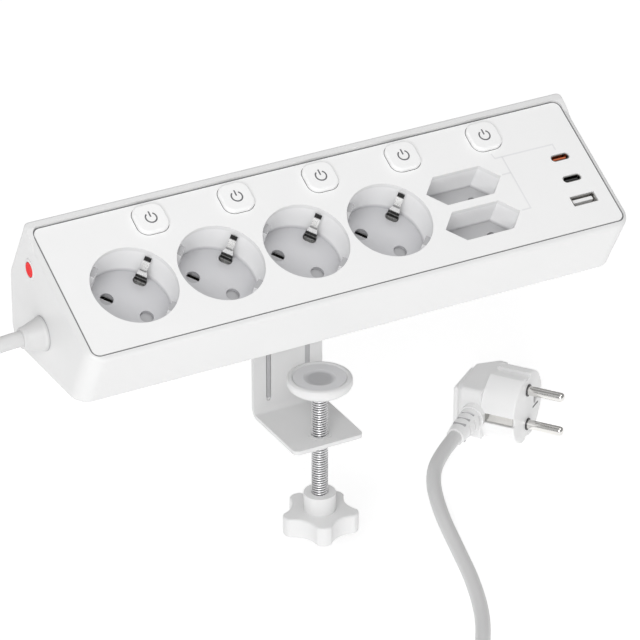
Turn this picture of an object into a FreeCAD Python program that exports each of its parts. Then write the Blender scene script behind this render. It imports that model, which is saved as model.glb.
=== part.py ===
"""Desk power strip on a screw clamp: four mains sockets, two flat sockets, USB ports and five switches.

The origin is the middle of the flat underside that rests on the desk top.
+X runs along the strip towards the USB ports, +Y goes to the back, +Z is up. Millimetres.
The top face slopes down to the front, so most parts are drawn on it in (u, v, h): u along X,
v up the slope from its front edge, h out of the face.
"""
import FreeCAD, Part
import math
import os

App = FreeCAD
Vec = App.Vector

# the sloping face and the body round it
SLOPE = 28.6
FACE_Y = -37.5          # the face's front edge, from the middle of the underside
FACE_Z = 30.3
PANEL_LENGTH = 265.1
PANEL_DEPTH = 68.7
PANEL_THICK = 2.4
PANEL_CORNER = 3.4
BODY_LENGTH = 271.2
GAP = 0.7               # shadow gap round the panel
RIM_FRONT = 3.1         # the body's edge in front of the panel
RIM_BACK = 3.9
RIM_RISE = 0.1          # the rim is flush with the panel at the front and the ends
BEAD_RISE = 1.6         # the bead along the back stands above it
WALL = 2.5
BACK_Y = 42.2
UNDERSIDE = 0.3
BACK_ROUND = 10.0
END_ROUND = 8.0         # the upright edges at the front corners
LOW_ROUND = 2.6
EDGE_ROUND = 2.4
BEAD_ROUND = 1.2

# what the face carries
SOCKET_U = (-100.5, -58.4, -16.3, 25.8)
SOCKET_V = 29.6
SOCKET_R = 19.8
SOCKET_DEEP = 17.5
PIN_OUT = 9.5           # a pin hole's distance from the socket's middle
PIN_HOLE_R = 3.1
SOCKET_TURN = 135.0     # the pin holes lie on this diagonal
FLAT_U = 67.5
FLAT_V = (37.6, 17.6)
FLAT_POINT = 19.3
FLAT_SHOULDER = 12.0
FLAT_HALF = 8.0
FLAT_DEEP = 16.0
BUTTON_U = (-79.6, -37.5, 4.6, 46.7, 88.8)
BUTTON_V = 59.5
BUTTON_WIDE = 15.0
BUTTON_CORNER = 5.0
BUTTON_HIGH = 2.0
BUTTON_TRAVEL = 1.8
USB_U = 119.1
USB_A_V = 15.3
USB_C_V = (39.6, 27.4)

# the left end
RESET_V = 57.9
RESET_H = -13.5
RESET_R = 3.4
RESET_PROUD = 0.35
GLAND_Y = 8.4
GLAND_Z = 20.3
CORD_R = 3.6

# the clamp
CLAMP_X = 3.1
BRACKET_WIDE = 36.0
BRACKET_THICK = 2.0
LEG_FRONT = BACK_Y + 0.3
LEG_TOP = 35.0
PLATE_TOP = -71.1
PLATE_FRONT = 2.3
SLOT_APART = 20.3
SLOT_WIDE = 4.6
GROOVE_WIDE = 2.6
GROOVE_DEEP = 1.0
HANGER_Z = 21.0         # the bracket screws' height
SCREW_Y = 12.0
SCREW_R = 3.9
PAD_TOP = -40.7
PAD_R = 15.2
PAD_HIGH = 6.6
HUB_TOP = -101.9
HUB_R = 7.55
LOBE_TOP = -111.0
KNOB_BOTTOM = -121.0
KNOB_R = 18.3
KNOB_TURN = 32.4

# the floor that the free cord and the plug lie on, below the knob's lowest place
FLOOR = -145.0
CORD_Z = FLOOR + CORD_R
COIL_X = -98.0
COIL_Y = -100.0
COIL_INNER = 29.3
COIL_OUTER = 51.3
COIL_HIGH = 13.6
CORD_LEAD = (
    (-146.1, GLAND_Y, GLAND_Z), (-161, GLAND_Y, GLAND_Z), (-184, 10, 11), (-202, 10, -12), (-211, 8, -41),
    (-214, 4, -72), (-212, -2, -101), (-203, -13, -125), (-188, -30, -138.5), (-170, -48, CORD_Z),
    (-154, -64, CORD_Z), (-145.6, -81, CORD_Z),
)
CORD_TAIL = (
    (-76, -144, -135.2), (-50, -142, -138.8), (-17, -134, CORD_Z), (6, -117, CORD_Z),
    (28, -94, CORD_Z), (46, -66, CORD_Z), (58, -36, CORD_Z), (66, -8, CORD_Z), (71, 17, -136.5),
    (77.5, 37, -130.5), (88.96, 50.32, -127.4), (104.99, 62.27, -127.4),
)

# the plug, lying on its side
PLUG_X = 150.9
PLUG_Y = 70.3
PLUG_YAW = -53.3
PLUG_R = 18.6
PLUG_FLAT = 17.6
PLUG_Z = FLOOR + PLUG_FLAT

CLOSE = 0.25            # running clearance between plastic parts


def box(x0, x1, y0, y1, z0, z1):
    return Part.makeBox(x1 - x0, y1 - y0, z1 - z0, Vec(x0, y0, z0))


def cylinder(x, y, z0, z1, r):
    return Part.makeCylinder(r, z1 - z0, Vec(x, y, z0), Vec(0, 0, 1))


def moved(shape, placement):
    copy = shape.copy()
    copy.Placement = placement.multiply(copy.Placement)
    return copy


FACE = App.Placement(Vec(0, FACE_Y, FACE_Z), App.Rotation(Vec(1, 0, 0), SLOPE))


def on_face(shape):
    """A shape drawn in (u, v, h), put on the sloping face."""
    return moved(shape, FACE)


def turned(shape, u, v, angle):
    """A shape drawn about (0, 0), turned about h and put at (u, v)."""
    return moved(shape, App.Placement(Vec(u, v, 0), App.Rotation(Vec(0, 0, 1), angle)))


def save(name, *solids):
    shape = solids[0] if len(solids) == 1 else Part.makeCompound(list(solids))
    for solid in shape.Solids:
        if not solid.isValid():
            print("not valid:", name)
    shape.exportStep("parts/" + name + ".step")
    print("%-20s %3d solids %10.1f mm3" % (name, len(shape.Solids), shape.Volume))


def one(shape):
    """The only solid of a shape that is a compound of one."""
    shape = shape.removeSplitter()
    return shape.Solids[0] if len(shape.Solids) == 1 else shape


def rounded_outline(u0, u1, v0, v1, r):
    """A rectangle with round corners, as a wire at h = 0."""
    turns = ((u1 - r, v0 + r, -90), (u1 - r, v1 - r, 0), (u0 + r, v1 - r, 90), (u0 + r, v0 + r, 180))
    points = []
    for u, v, start in turns:
        for angle in (start, start + 45, start + 90):
            a = math.radians(angle)
            points.append(Vec(u + r * math.cos(a), v + r * math.sin(a), 0))
    edges = []
    for k in range(0, 12, 3):
        edges.append(Part.Arc(points[k], points[k + 1], points[k + 2]).toShape())
        edges.append(Part.LineSegment(points[k + 2], points[(k + 3) % 12]).toShape())
    return Part.Wire(edges)


def slab(wire, h0, h1):
    """A flat outline at h = 0 raised into a solid from h0 to h1."""
    face = Part.Face(wire)
    face.translate(Vec(0, 0, h0))
    return face.extrude(Vec(0, 0, h1 - h0))


def rounded_slab(u0, u1, v0, v1, r, h0, h1):
    return slab(rounded_outline(u0, u1, v0, v1, r), h0, h1)


def polygon_slab(points, h0, h1):
    corners = [Vec(u, v, 0) for u, v in points]
    return slab(Part.makePolygon(corners + corners[:1]), h0, h1)


def revolved(profile, axis_point, axis):
    """A closed (radius, along) profile turned about an axis."""
    corners = [Vec(r, 0, z) for r, z in profile]
    face = Part.Face(Part.makePolygon(corners + corners[:1]))
    solid = face.revolve(Vec(0, 0, 0), Vec(0, 0, 1), 360)
    turn = App.Rotation(Vec(0, 0, 1), axis)
    return moved(solid, App.Placement(axis_point, turn))


def route_radii(points):
    radii = []
    for a, b, c in zip(points, points[1:], points[2:]):
        turn = (b - a).getAngle(c - b)
        radii.append(0.45 * min((b - a).Length, (c - b).Length) / math.tan(turn / 2))
    return radii


def route_wire(points):
    """Straight runs joined by tangent arcs."""
    edges = []
    start = points[0]
    for a, b, c, r in zip(points, points[1:], points[2:], route_radii(points)):
        back = (a - b).normalize()
        on = (c - b).normalize()
        reach = 0.45 * min((b - a).Length, (c - b).Length)
        first = b + back * reach
        last = b + on * reach
        middle = (back + on).normalize()
        to_centre = math.hypot(reach, r)
        top = b + middle * (to_centre - r)
        edges.append(Part.LineSegment(start, first).toShape())
        edges.append(Part.Arc(first, top, last).toShape())
        start = last
    edges.append(Part.LineSegment(start, points[-1]).toShape())
    return Part.Wire(edges)


def tube(route, r, name=""):
    points = [Vec(*p) for p in route]
    path = route_wire(points)
    ring = Part.Wire([Part.makeCircle(r, points[0], points[1] - points[0])])
    solid = path.makePipeShell([ring], True, False)
    if name:
        least = min(route_radii(points))
        share = solid.Volume / (math.pi * r * r * path.Length)
        print("%s: %.0f mm long, least radius %.1f, volume share %.4f" % (name, path.Length, least, share))
        print("  radii", [round(x) for x in route_radii(points)])
    return solid


# ---- body ----

def body_solid(inset, rise):
    """The body's outside, or with an inset the space inside its walls, before the top is opened."""
    s = math.radians(SLOPE)
    front = -RIM_FRONT + inset
    back = PANEL_DEPTH + RIM_BACK - inset

    def at(v, h):
        return (FACE_Y + v * math.cos(s) - h * math.sin(s), FACE_Z + v * math.sin(s) + h * math.cos(s))

    low = UNDERSIDE + inset
    y_back = BACK_Y - inset
    foot_h = (low - FACE_Z - front * math.sin(s)) / math.cos(s)
    foot = (at(front, foot_h)[0], low)
    knee_h = -(y_back - FACE_Y - back * math.cos(s)) / math.sin(s)
    knee = (y_back, at(back, knee_h)[1])
    outline = (at(front, rise), foot, (y_back, low), knee, at(back, rise))
    corners = [Vec(0, y, z) for y, z in outline]
    r = BACK_ROUND - inset
    edges = [Part.LineSegment(corners[0], corners[1]).toShape()]
    start = corners[1]
    for before, corner, after in zip(corners[1:], corners[2:], corners[3:]):
        back_way = (before - corner).normalize()
        on_way = (after - corner).normalize()
        half = back_way.getAngle(on_way) / 2
        reach = r / math.tan(half)
        top = corner + (back_way + on_way).normalize() * (r / math.sin(half) - r)
        edges.append(Part.LineSegment(start, corner + back_way * reach).toShape())
        edges.append(Part.Arc(corner + back_way * reach, top, corner + on_way * reach).toShape())
        start = corner + on_way * reach
    edges.append(Part.LineSegment(start, corners[4]).toShape())
    edges.append(Part.LineSegment(corners[4], corners[0]).toShape())
    half_length = BODY_LENGTH / 2 - inset
    face = Part.Face(Part.Wire(edges))
    face.translate(Vec(-half_length, 0, 0))
    solid = face.extrude(Vec(2 * half_length, 0, 0))
    middle = (corners[0] + corners[1]) / 2
    upright = [e for e in solid.Edges
               if math.hypot(e.CenterOfMass.y - middle.y, e.CenterOfMass.z - middle.z) < 0.01
               and abs(abs(e.CenterOfMass.x) - half_length) < 0.01]
    return solid.makeFillet(END_ROUND - inset, upright)


def face_height(point):
    """A point's height h above the sloping face."""
    s = math.radians(SLOPE)
    return -(point.y - FACE_Y) * math.sin(s) + (point.z - FACE_Z) * math.cos(s)


def soften_body(solid, rise, r_rim):
    """Rounds the edges of the ends and the underside, and then the rim's outer edge."""
    low = [e for e in solid.Edges if e.CenterOfMass.z < UNDERSIDE + 0.01 and abs(e.CenterOfMass.x) > 100]
    solid = solid.makeFillet(LOW_ROUND, low)
    rim = [e for e in solid.Edges if abs(face_height(e.CenterOfMass) - rise) < 0.01]
    return solid.makeFillet(r_rim, rim)


def outer_body():
    """The body with a rim flush with the panel, and the bead that rises along its back."""
    flush = soften_body(body_solid(0, RIM_RISE), RIM_RISE, EDGE_ROUND)
    raised = soften_body(body_solid(0, BEAD_RISE), BEAD_RISE, BEAD_ROUND)
    ramp = ((55, -6), (57, -2.3), (63, -0.1), (69, 1.7), (80, 20), (80, -6))
    side = Part.makePolygon([Vec(-200, v, h) for v, h in ramp + ramp[:1]])
    bead = raised.common(on_face(Part.Face(side).extrude(Vec(400, 0, 0))))
    return one(flush.fuse(bead))


HALF_PANEL = PANEL_LENGTH / 2
LEDGE = 2.2             # the panel's support inside the rim
LEDGE_BACK = 0.8
COVER_X = 126.0
COVER_Y = (-20.5, 22.0)
COVER_THICK = 2.5
FLANGE_TOP = UNDERSIDE + COVER_THICK + 2.5
COVER_SCREWS = [(x, y) for x in (-118.0, 0.0, 118.0) for y in (-16.5, 18.0)]


def upper_housing():
    body = outer_body()
    inside = body_solid(WALL, RIM_RISE)
    below_ledge = on_face(box(-200, 200, -60, 140, -90, -PANEL_THICK - 2.0))
    cavity = inside.common(below_ledge).common(box(-200, 200, -90, 90, FLANGE_TOP, 90))
    pocket = on_face(rounded_slab(-HALF_PANEL - GAP, HALF_PANEL + GAP, -GAP, PANEL_DEPTH + GAP,
                                  PANEL_CORNER + GAP, -PANEL_THICK, 12))
    well = on_face(rounded_slab(-HALF_PANEL + LEDGE, HALF_PANEL - LEDGE, LEDGE, PANEL_DEPTH - LEDGE_BACK, 2,
                                -12, 1))
    body = body.cut(cavity).cut(pocket).cut(well)
    rebate = rounded_slab(-COVER_X, COVER_X, COVER_Y[0], COVER_Y[1], 4, -1, UNDERSIDE + COVER_THICK)
    opening = rounded_slab(-COVER_X + 8, COVER_X - 8, COVER_Y[0] + 8, COVER_Y[1] - 8, 3, 0, FLANGE_TOP + 1)
    body = body.cut(rebate).cut(opening)
    for x, y in COVER_SCREWS:
        body = body.fuse(cylinder(x, y, UNDERSIDE + COVER_THICK, 10.5, 3.2))
        body = body.cut(cylinder(x, y, 0, 9.5, 1.25))
    left = -BODY_LENGTH / 2
    reset = FACE.multVec(Vec(0, RESET_V, RESET_H))
    ring = Part.makeCylinder(RESET_R + 1.5, 1.0, Vec(left - RESET_PROUD, reset.y, reset.z), Vec(1, 0, 0))
    body = body.fuse(ring.makeFillet(0.2, [e for e in ring.Edges if e.CenterOfMass.x < left]))
    body = body.cut(Part.makeCylinder(RESET_R + CLOSE, 8, Vec(left - 2, reset.y, reset.z), Vec(1, 0, 0)))
    body = body.cut(Part.makeCylinder(5.6, 8, Vec(left - 2, GLAND_Y, GLAND_Z), Vec(1, 0, 0)))
    for side in (-1, 1):
        x = CLAMP_X + side * SLOT_APART / 2
        body = body.cut(Part.makeCylinder(2.1, 8, Vec(x, BACK_Y - 5, HANGER_Z), Vec(0, 1, 0)))
    return one(body)


def bottom_cover():
    plate = rounded_slab(-COVER_X + CLOSE, COVER_X - CLOSE, COVER_Y[0] + CLOSE, COVER_Y[1] - CLOSE, 3.8,
                         UNDERSIDE, UNDERSIDE + COVER_THICK)
    plate = plate.cut(rounded_slab(-100.2, 100.2, -12.2, 13.2, 4, -1, UNDERSIDE + 1.2))
    for x, y in COVER_SCREWS:
        plate = plate.cut(cylinder(x, y, -1, 9, 1.7))
        plate = plate.cut(cylinder(x, y, -1, UNDERSIDE + 1.4, 3.0))
    return one(plate)


def anti_slip_pad():
    return rounded_slab(-100, 100, -12, 13, 3.8, 0, UNDERSIDE + 1.2)


def cover_screws():
    screws = []
    for x, y in COVER_SCREWS:
        head = cylinder(x, y, UNDERSIDE + 0.1, UNDERSIDE + 1.4, 2.75)
        head = head.cut(box(x - 1.6, x + 1.6, y - 0.3, y + 0.3, 0, UNDERSIDE + 0.8))
        head = head.cut(box(x - 0.3, x + 0.3, y - 1.6, y + 1.6, 0, UNDERSIDE + 0.8))
        screws.append(one(head.fuse(cylinder(x, y, UNDERSIDE + 1.4, 9.0, 1.2))))
    return screws


def squircle(half, r):
    return rounded_outline(-half, half, -half, half, r)


def face_panel():
    plate = rounded_slab(-HALF_PANEL, HALF_PANEL, 0, PANEL_DEPTH, PANEL_CORNER, -PANEL_THICK, 0)
    for u in SOCKET_U:
        plate = plate.cut(cylinder(u, SOCKET_V, -9, 9, SOCKET_R))
    for v in FLAT_V:
        plate = plate.cut(moved(flat_shape(0, -9, 9), App.Placement(Vec(FLAT_U, v, 0), App.Rotation())))
    for u in BUTTON_U:
        hole = slab(squircle(BUTTON_WIDE / 2 + CLOSE, BUTTON_CORNER + CLOSE), -9, 9)
        plate = plate.cut(turned(hole, u, BUTTON_V, 0))
    for v in USB_C_V:
        plate = plate.cut(rounded_slab(USB_U - 4.75, USB_U + 4.75, v - 1.9, v + 1.9, 1.85, -9, 9))
    plate = plate.cut(rounded_slab(USB_U - 6.4, USB_U + 6.4, USB_A_V - 2.75, USB_A_V + 2.75, 0.5, -9, 9))
    return one(on_face(plate))


def flat_shape(grow, h0, h1):
    """The six-sided outline of a flat socket, grown outwards."""
    point = FLAT_POINT + grow * 1.2
    shoulder = FLAT_SHOULDER + grow * 0.4
    half = FLAT_HALF + grow
    outline = ((-point, 0), (-shoulder, -half), (shoulder, -half), (point, 0), (shoulder, half),
               (-shoulder, half))
    return polygon_slab(outline, h0, h1)


# ---- sockets ----

EARTH_NEAR = 13.9       # the slot in the cup's floor that an earth clip comes up through
EARTH_FAR = 18.9


def socket_cup(u):
    floor = -SOCKET_DEEP
    cup = cylinder(0, 0, floor - 1.5, -PANEL_THICK, SOCKET_R + 1.0)
    cup = cup.cut(cylinder(0, 0, floor, 1, SOCKET_R))
    for side in (-1, 1):
        rib = box(17.4, SOCKET_R + 0.5, -2.7, 2.7, floor - 0.5, -3.4)
        rail = box(14.3, 15.6, -5, 5, floor - 2.6, floor - 1.4)
        pair = rib.fuse(rail) if side > 0 else moved(rib.fuse(rail), App.Placement(
            Vec(0, 0, 0), App.Rotation(Vec(0, 0, 1), 180)))
        cup = cup.fuse(pair)
        cup = cup.cut(cylinder(side * PIN_OUT, 0, floor - 2, floor + 2, PIN_HOLE_R))
        slot = rounded_slab(-3.1, 3.1, EARTH_NEAR, EARTH_FAR, 2.0, floor - 2, floor + 2)
        cup = cup.cut(turned(slot, 0, 0, 90 - side * 90))
    return one(on_face(turned(cup, u, SOCKET_V, SOCKET_TURN)))


def strip_face(points, thick):
    """A bent strip's edge-on outline: the points offset to both sides by half the thickness."""
    sides = ([], [])
    for k, p in enumerate(points):
        before = points[max(k - 1, 0)]
        after = points[min(k + 1, len(points) - 1)]
        normals = []
        for a, b in ((before, p), (p, after)):
            if a != b:
                length = math.dist(a, b)
                normals.append(((a[1] - b[1]) / length, (b[0] - a[0]) / length))
        nx = sum(n[0] for n in normals)
        ny = sum(n[1] for n in normals)
        scale = thick * len(normals) / 2 / (nx * nx + ny * ny)
        for side, sign in zip(sides, (1, -1)):
            side.append((p[0] + sign * nx * scale, p[1] + sign * ny * scale))
    return sides[0] + sides[1][::-1]


def bent_strip(points, thick, width):
    """A strip bent in the (y, h) plane, as wide as given along x."""
    corners = [Vec(-width / 2, y, z) for y, z in strip_face(points, thick)]
    return Part.Face(Part.makePolygon(corners + corners[:1])).extrude(Vec(width, 0, 0))


def earth_clip(u):
    """A sprung strip, broad where it leaves the floor and narrow at the top."""
    base = -SOCKET_DEEP - 4.2
    arm = ((16.9, base), (16.6, -16.0), (15.4, -11.5), (15.9, -8.0), (18.7, -2.8))
    whole = [(-y, h) for y, h in arm[::-1]] + list(arm)
    strip = bent_strip(whole, 0.7, 5.4)
    outline = ((-2.7, -30), (2.7, -30), (2.7, -13.0), (1.6, -9.0), (1.6, 0), (-1.6, 0), (-1.6, -9.0),
               (-2.7, -13.0))
    front = Part.makePolygon([Vec(x, -30, h) for x, h in outline + outline[:1]])
    clip = strip.common(Part.Face(front).extrude(Vec(0, 60, 0)))
    return one(on_face(turned(clip, u, SOCKET_V, SOCKET_TURN)))


def shutter(u):
    top = -SOCKET_DEEP - 1.7
    plate = rounded_slab(-14.0, 14.0, -4.0, 4.0, 1.5, top - 1.0, top)
    plate = plate.cut(box(6.3, 12.6, -2.6, -0.4, top - 2, top + 1))
    return one(on_face(turned(plate, u, SOCKET_V, SOCKET_TURN)))


def flat_cup(v):
    cup = flat_shape(1.0, -FLAT_DEEP - 1.5, -PANEL_THICK).cut(flat_shape(0, -FLAT_DEEP, 1))
    for side in (-1, 1):
        cup = cup.cut(cylinder(side * PIN_OUT, 0, -FLAT_DEEP - 2, 0, 2.3))
    return one(on_face(turned(cup, FLAT_U, v, 0)))


def flat_shutter(v):
    top = -FLAT_DEEP - 1.7
    return on_face(turned(rounded_slab(-12.6, 12.6, -3.2, 3.2, 1.2, top - 1.0, top), FLAT_U, v, 0))


BAR_TOP = -30.5
LIVE_V = SOCKET_V + PIN_OUT * math.sin(math.radians(45))
NEUTRAL_V = SOCKET_V - PIN_OUT * math.sin(math.radians(45))


def contact(u, v, top, bottom, bore):
    block = box(u - 3, u + 3, v - 3, v + 3, bottom, top)
    return on_face(block.cut(cylinder(u, v, bottom + 1, top + 1, bore)))


def pin_contacts():
    """Sprung sockets under every pin hole: two for each outlet."""
    found = []
    reach = PIN_OUT * math.sin(math.radians(45))
    for u in SOCKET_U:
        found.append(contact(u - reach, LIVE_V, -SOCKET_DEEP - 3.2, BAR_TOP, 2.35))
        found.append(contact(u + reach, NEUTRAL_V, -SOCKET_DEEP - 3.2, BAR_TOP, 2.35))
    for v in FLAT_V:
        for side in (-1, 1):
            found.append(contact(FLAT_U + side * PIN_OUT, v, -FLAT_DEEP - 3.0, -27.0, 1.95))
    return found


def busbar(v, link_u):
    """A bar along the strip, and the cross link that feeds the flat sockets from it."""
    bar = box(-117, 92, v - 3, v + 3, BAR_TOP - 1, BAR_TOP)
    link = box(link_u - 3, link_u + 3, FLAT_V[1] - 3, FLAT_V[0] + 3, -28, -27)
    leg = box(link_u - 3, link_u + 3, v - 1, v + 1, BAR_TOP, -28)
    return one(on_face(bar.fuse(link).fuse(leg)))


def earth_strip():
    top = -SOCKET_DEEP - 4.2 - 0.35
    return on_face(box(-117, 46, SOCKET_V - 2.8, SOCKET_V + 2.8, top - 0.8, top))


# ---- switches, breaker and USB ----

def power_button(u):
    cap = slab(squircle(BUTTON_WIDE / 2, BUTTON_CORNER), -3.8, BUTTON_HIGH)
    top = [e for e in cap.Edges if abs(e.CenterOfMass.z - BUTTON_HIGH) < 0.01]
    cap = cap.makeFillet(0.9, top)
    flange = slab(squircle(BUTTON_WIDE / 2 + 1.0, BUTTON_CORNER + 1.0), -3.8, -PANEL_THICK - 0.1)
    flange = flange.common(box(-20, 20, -20, BUTTON_WIDE / 2, -9, 9))
    stem = cylinder(0, 0, -5.0, -3.8, 4.0)
    return one(on_face(turned(cap.fuse(flange).fuse(stem), u, BUTTON_V, 0)))


def switch_module(u):
    top = -5.0 - BUTTON_TRAVEL - 0.4
    block = box(-7, 7, -7, 7, top - 15, top)
    for x in (-4, 4):
        block = block.fuse(box(x - 1.6, x + 1.6, -0.4, 0.4, top - 19.5, top - 15))
    return one(on_face(turned(block, u, BUTTON_V - 1.0, 0)))


def reset_button():
    middle = FACE.multVec(Vec(0, RESET_V, RESET_H))
    left = -BODY_LENGTH / 2
    start = left - RESET_PROUD - 0.1
    cap = Part.makeCylinder(RESET_R, left + 4.6 - start, Vec(start, middle.y, middle.z), Vec(1, 0, 0))
    tip = [e for e in cap.Edges if e.CenterOfMass.x < left]
    cap = cap.makeFillet(0.4, tip)
    flange = Part.makeCylinder(RESET_R + 1.0, 1.4, Vec(left + WALL + 0.1, middle.y, middle.z), Vec(1, 0, 0))
    return one(cap.fuse(flange))


def circuit_breaker():
    left = -BODY_LENGTH / 2
    case = box(left + 7.2, left + 33, RESET_V - 6.6, RESET_V + 6.6, RESET_H - 8, RESET_H + 8)
    for u in (left + 14, left + 24):
        case = case.fuse(box(u - 3, u + 3, RESET_V - 0.4, RESET_V + 0.4, RESET_H - 12, RESET_H - 8))
    return one(on_face(case))


def tube_shell(u0, u1, v0, v1, r, h0, h1, wall):
    outer = rounded_slab(u0, u1, v0, v1, r, h0, h1)
    return outer.cut(rounded_slab(u0 + wall, u1 - wall, v0 + wall, v1 - wall, r - wall, h0 - 1, h1 + 1))


def usb_shells():
    shells = [tube_shell(USB_U - 6.1, USB_U + 6.1, USB_A_V - 2.5, USB_A_V + 2.5, 0.6, -14, -0.4, 0.35)]
    for v in USB_C_V:
        shells.append(tube_shell(USB_U - 4.5, USB_U + 4.5, v - 1.65, v + 1.65, 1.6, -14, -0.4, 0.3))
    return [on_face(s) for s in shells]


def usb_a_tongue():
    tongue = box(USB_U - 5.2, USB_U + 5.2, USB_A_V - 0.2, USB_A_V + 1.5, -14, -1.6)
    block = box(USB_U - 5.5, USB_U + 5.5, USB_A_V - 2.0, USB_A_V + 2.0, -14, -11)
    return one(on_face(tongue.fuse(block)))


def usb_c_tongue(v):
    tongue = box(USB_U - 3.3, USB_U + 3.3, v - 0.35, v + 0.35, -14, -1.3)
    block = rounded_slab(USB_U - 4.1, USB_U + 4.1, v - 1.25, v + 1.25, 1.2, -14, -8)
    return one(on_face(tongue.fuse(block)))


def charger_board():
    return on_face(box(101, 130, 4, 48, -15.6, -14))


def charger_parts():
    parts = [box(104, 120, 20, 36, -28, -15.6)]
    parts.append(cylinder(125.5, 42, -27, -15.6, 4.0))
    parts.append(cylinder(125.5, 30, -27, -15.6, 4.0))
    parts.append(box(104, 118, 7, 13, -24, -15.6))
    return [on_face(p) for p in parts]


# ---- the cord's inlet and the inner leads ----

def along_x(profile, x, y, z):
    """A (radius, distance towards -X) profile turned about the line through (y, z)."""
    return revolved(profile, Vec(x, y, z), Vec(-1, 0, 0))


def cable_gland():
    """A tapered sleeve, 21 mm long, that holds the cord and stops it bending sharply."""
    profile = ((0, -10.6), (5.5, -10.6), (5.5, -6.2), (4.6, -6.2), (4.6, -4.2), (5.5, -4.2), (5.5, 0),
               (7.8, 0), (7.8, 1.2), (7.2, 2.2), (5.1, 8.6), (4.9, 10.0), (4.6, 10.5), (0, 10.5))
    return along_x(profile, -BODY_LENGTH / 2, GLAND_Y, GLAND_Z)


def gland_fork():
    x = -BODY_LENGTH / 2 + 4.3
    plate = box(x, x + 1.8, GLAND_Y - 9, GLAND_Y + 9, GLAND_Z - 9, GLAND_Z + 9)
    slot = box(x - 1, x + 3, GLAND_Y - 4.7, GLAND_Y + 4.7, GLAND_Z, GLAND_Z + 12)
    return one(plate.cut(slot).cut(Part.makeCylinder(4.7, 5, Vec(x - 1, GLAND_Y, GLAND_Z), Vec(1, 0, 0))))


def internal_leads():
    """Live to the breaker, neutral and earth to their bars."""
    start = -BODY_LENGTH / 2 + 10.7
    live = ((start, 38.0, -29.0), (-120.5, 38.0, -29.0), (-118.0, 44, -28.8), (-118.0, 54, -28.2))
    neutral = ((start, 33.6, -33.0), (-121.0, 33.6, -33.0), (-119.0, 29, -33.6), (-118.6, 23, -33.2))
    earth = ((start, 34.6, -27.4), (-121.5, 34.6, -27.4), (-118.6, 31, -25.6), (-117.6, 29.4, -23.6))
    return [on_face(tube(route, 1.1)) for route in (live, neutral, earth)]


# ---- the clamp ----

def clamp_bracket():
    half = BRACKET_WIDE / 2
    back = LEG_FRONT + BRACKET_THICK
    low = PLATE_TOP - BRACKET_THICK
    inner = 2.5
    outer = inner + BRACKET_THICK
    s45 = math.sin(math.radians(45))
    points = {
        "leg_in": (LEG_FRONT, LEG_TOP), "leg_out": (back, LEG_TOP),
        "out_a": (back, low + outer), "out_b": (back - outer, low),
        "tip_low": (PLATE_FRONT, low), "tip_top": (PLATE_FRONT, PLATE_TOP),
        "in_a": (LEG_FRONT - inner, PLATE_TOP), "in_b": (LEG_FRONT, PLATE_TOP + inner),
        "out_mid": (back - outer + outer * s45, low + outer - outer * s45),
        "in_mid": (LEG_FRONT - inner + inner * s45, PLATE_TOP + inner - inner * s45),
    }
    at = {name: Vec(CLAMP_X - half, y, z) for name, (y, z) in points.items()}
    edges = [
        Part.LineSegment(at["leg_in"], at["leg_out"]).toShape(),
        Part.LineSegment(at["leg_out"], at["out_a"]).toShape(),
        Part.Arc(at["out_a"], at["out_mid"], at["out_b"]).toShape(),
        Part.LineSegment(at["out_b"], at["tip_low"]).toShape(),
        Part.LineSegment(at["tip_low"], at["tip_top"]).toShape(),
        Part.LineSegment(at["tip_top"], at["in_a"]).toShape(),
        Part.Arc(at["in_a"], at["in_mid"], at["in_b"]).toShape(),
        Part.LineSegment(at["in_b"], at["leg_in"]).toShape(),
    ]
    plate = Part.Face(Part.Wire(edges)).extrude(Vec(BRACKET_WIDE, 0, 0))
    corners = []
    for e in plate.Edges:
        y, z = e.CenterOfMass.y, e.CenterOfMass.z
        short = e.Length < BRACKET_THICK + 0.01
        if short and (abs(y - PLATE_FRONT) < 0.01 or abs(z - LEG_TOP) < 0.01):
            corners.append(e)
    plate = plate.makeFillet(3.0, corners)
    for side in (-1, 1):
        x = CLAMP_X + side * SLOT_APART / 2
        slot = upright_slot(x, SLOT_WIDE, HANGER_Z - 10.7, HANGER_Z + 10.7, LEG_FRONT - 1, back + 1)
        groove = upright_slot(x, GROOVE_WIDE, PLATE_TOP + 5, HANGER_Z - 15, LEG_FRONT - 1,
                              LEG_FRONT + GROOVE_DEEP)
        plate = plate.cut(slot).cut(groove)
    return one(plate.cut(cylinder(CLAMP_X, SCREW_Y, low - 1, PLATE_TOP + 1, 5.5)))


def upright_slot(x, wide, z0, z1, y0, y1):
    """A round-ended slot standing in the XZ plane."""
    r = wide / 2
    slot = box(x - r, x + r, y0, y1, z0 + r, z1 - r)
    for z in (z0 + r, z1 - r):
        slot = slot.fuse(Part.makeCylinder(r, y1 - y0, Vec(x, y0, z), Vec(0, 1, 0)))
    return slot


def bracket_screws():
    """Two screws that hold the bracket's leg to the back, through its slots."""
    screws = []
    face = LEG_FRONT + BRACKET_THICK + 0.3
    for side in (-1, 1):
        x = CLAMP_X + side * SLOT_APART / 2
        shank = Part.makeCylinder(1.95, face - BACK_Y + 9.0, Vec(x, BACK_Y - 9.0, HANGER_Z), Vec(0, 1, 0))
        washer = Part.makeCylinder(4.6, 0.9, Vec(x, face, HANGER_Z), Vec(0, 1, 0))
        head = Part.makeCylinder(3.6, 2.2, Vec(x, face + 0.9, HANGER_Z), Vec(0, 1, 0))
        rim = [e for e in head.Edges if e.CenterOfMass.y > face + 3.0]
        head = head.makeFillet(1.0, rim)
        cross = box(x - 2, x + 2, face + 2.0, face + 4, HANGER_Z - 0.4, HANGER_Z + 0.4)
        cross = cross.fuse(box(x - 0.4, x + 0.4, face + 2.0, face + 4, HANGER_Z - 2, HANGER_Z + 2))
        screws.append(one(shank.fuse(washer).fuse(head).cut(cross)))
    return screws


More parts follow.
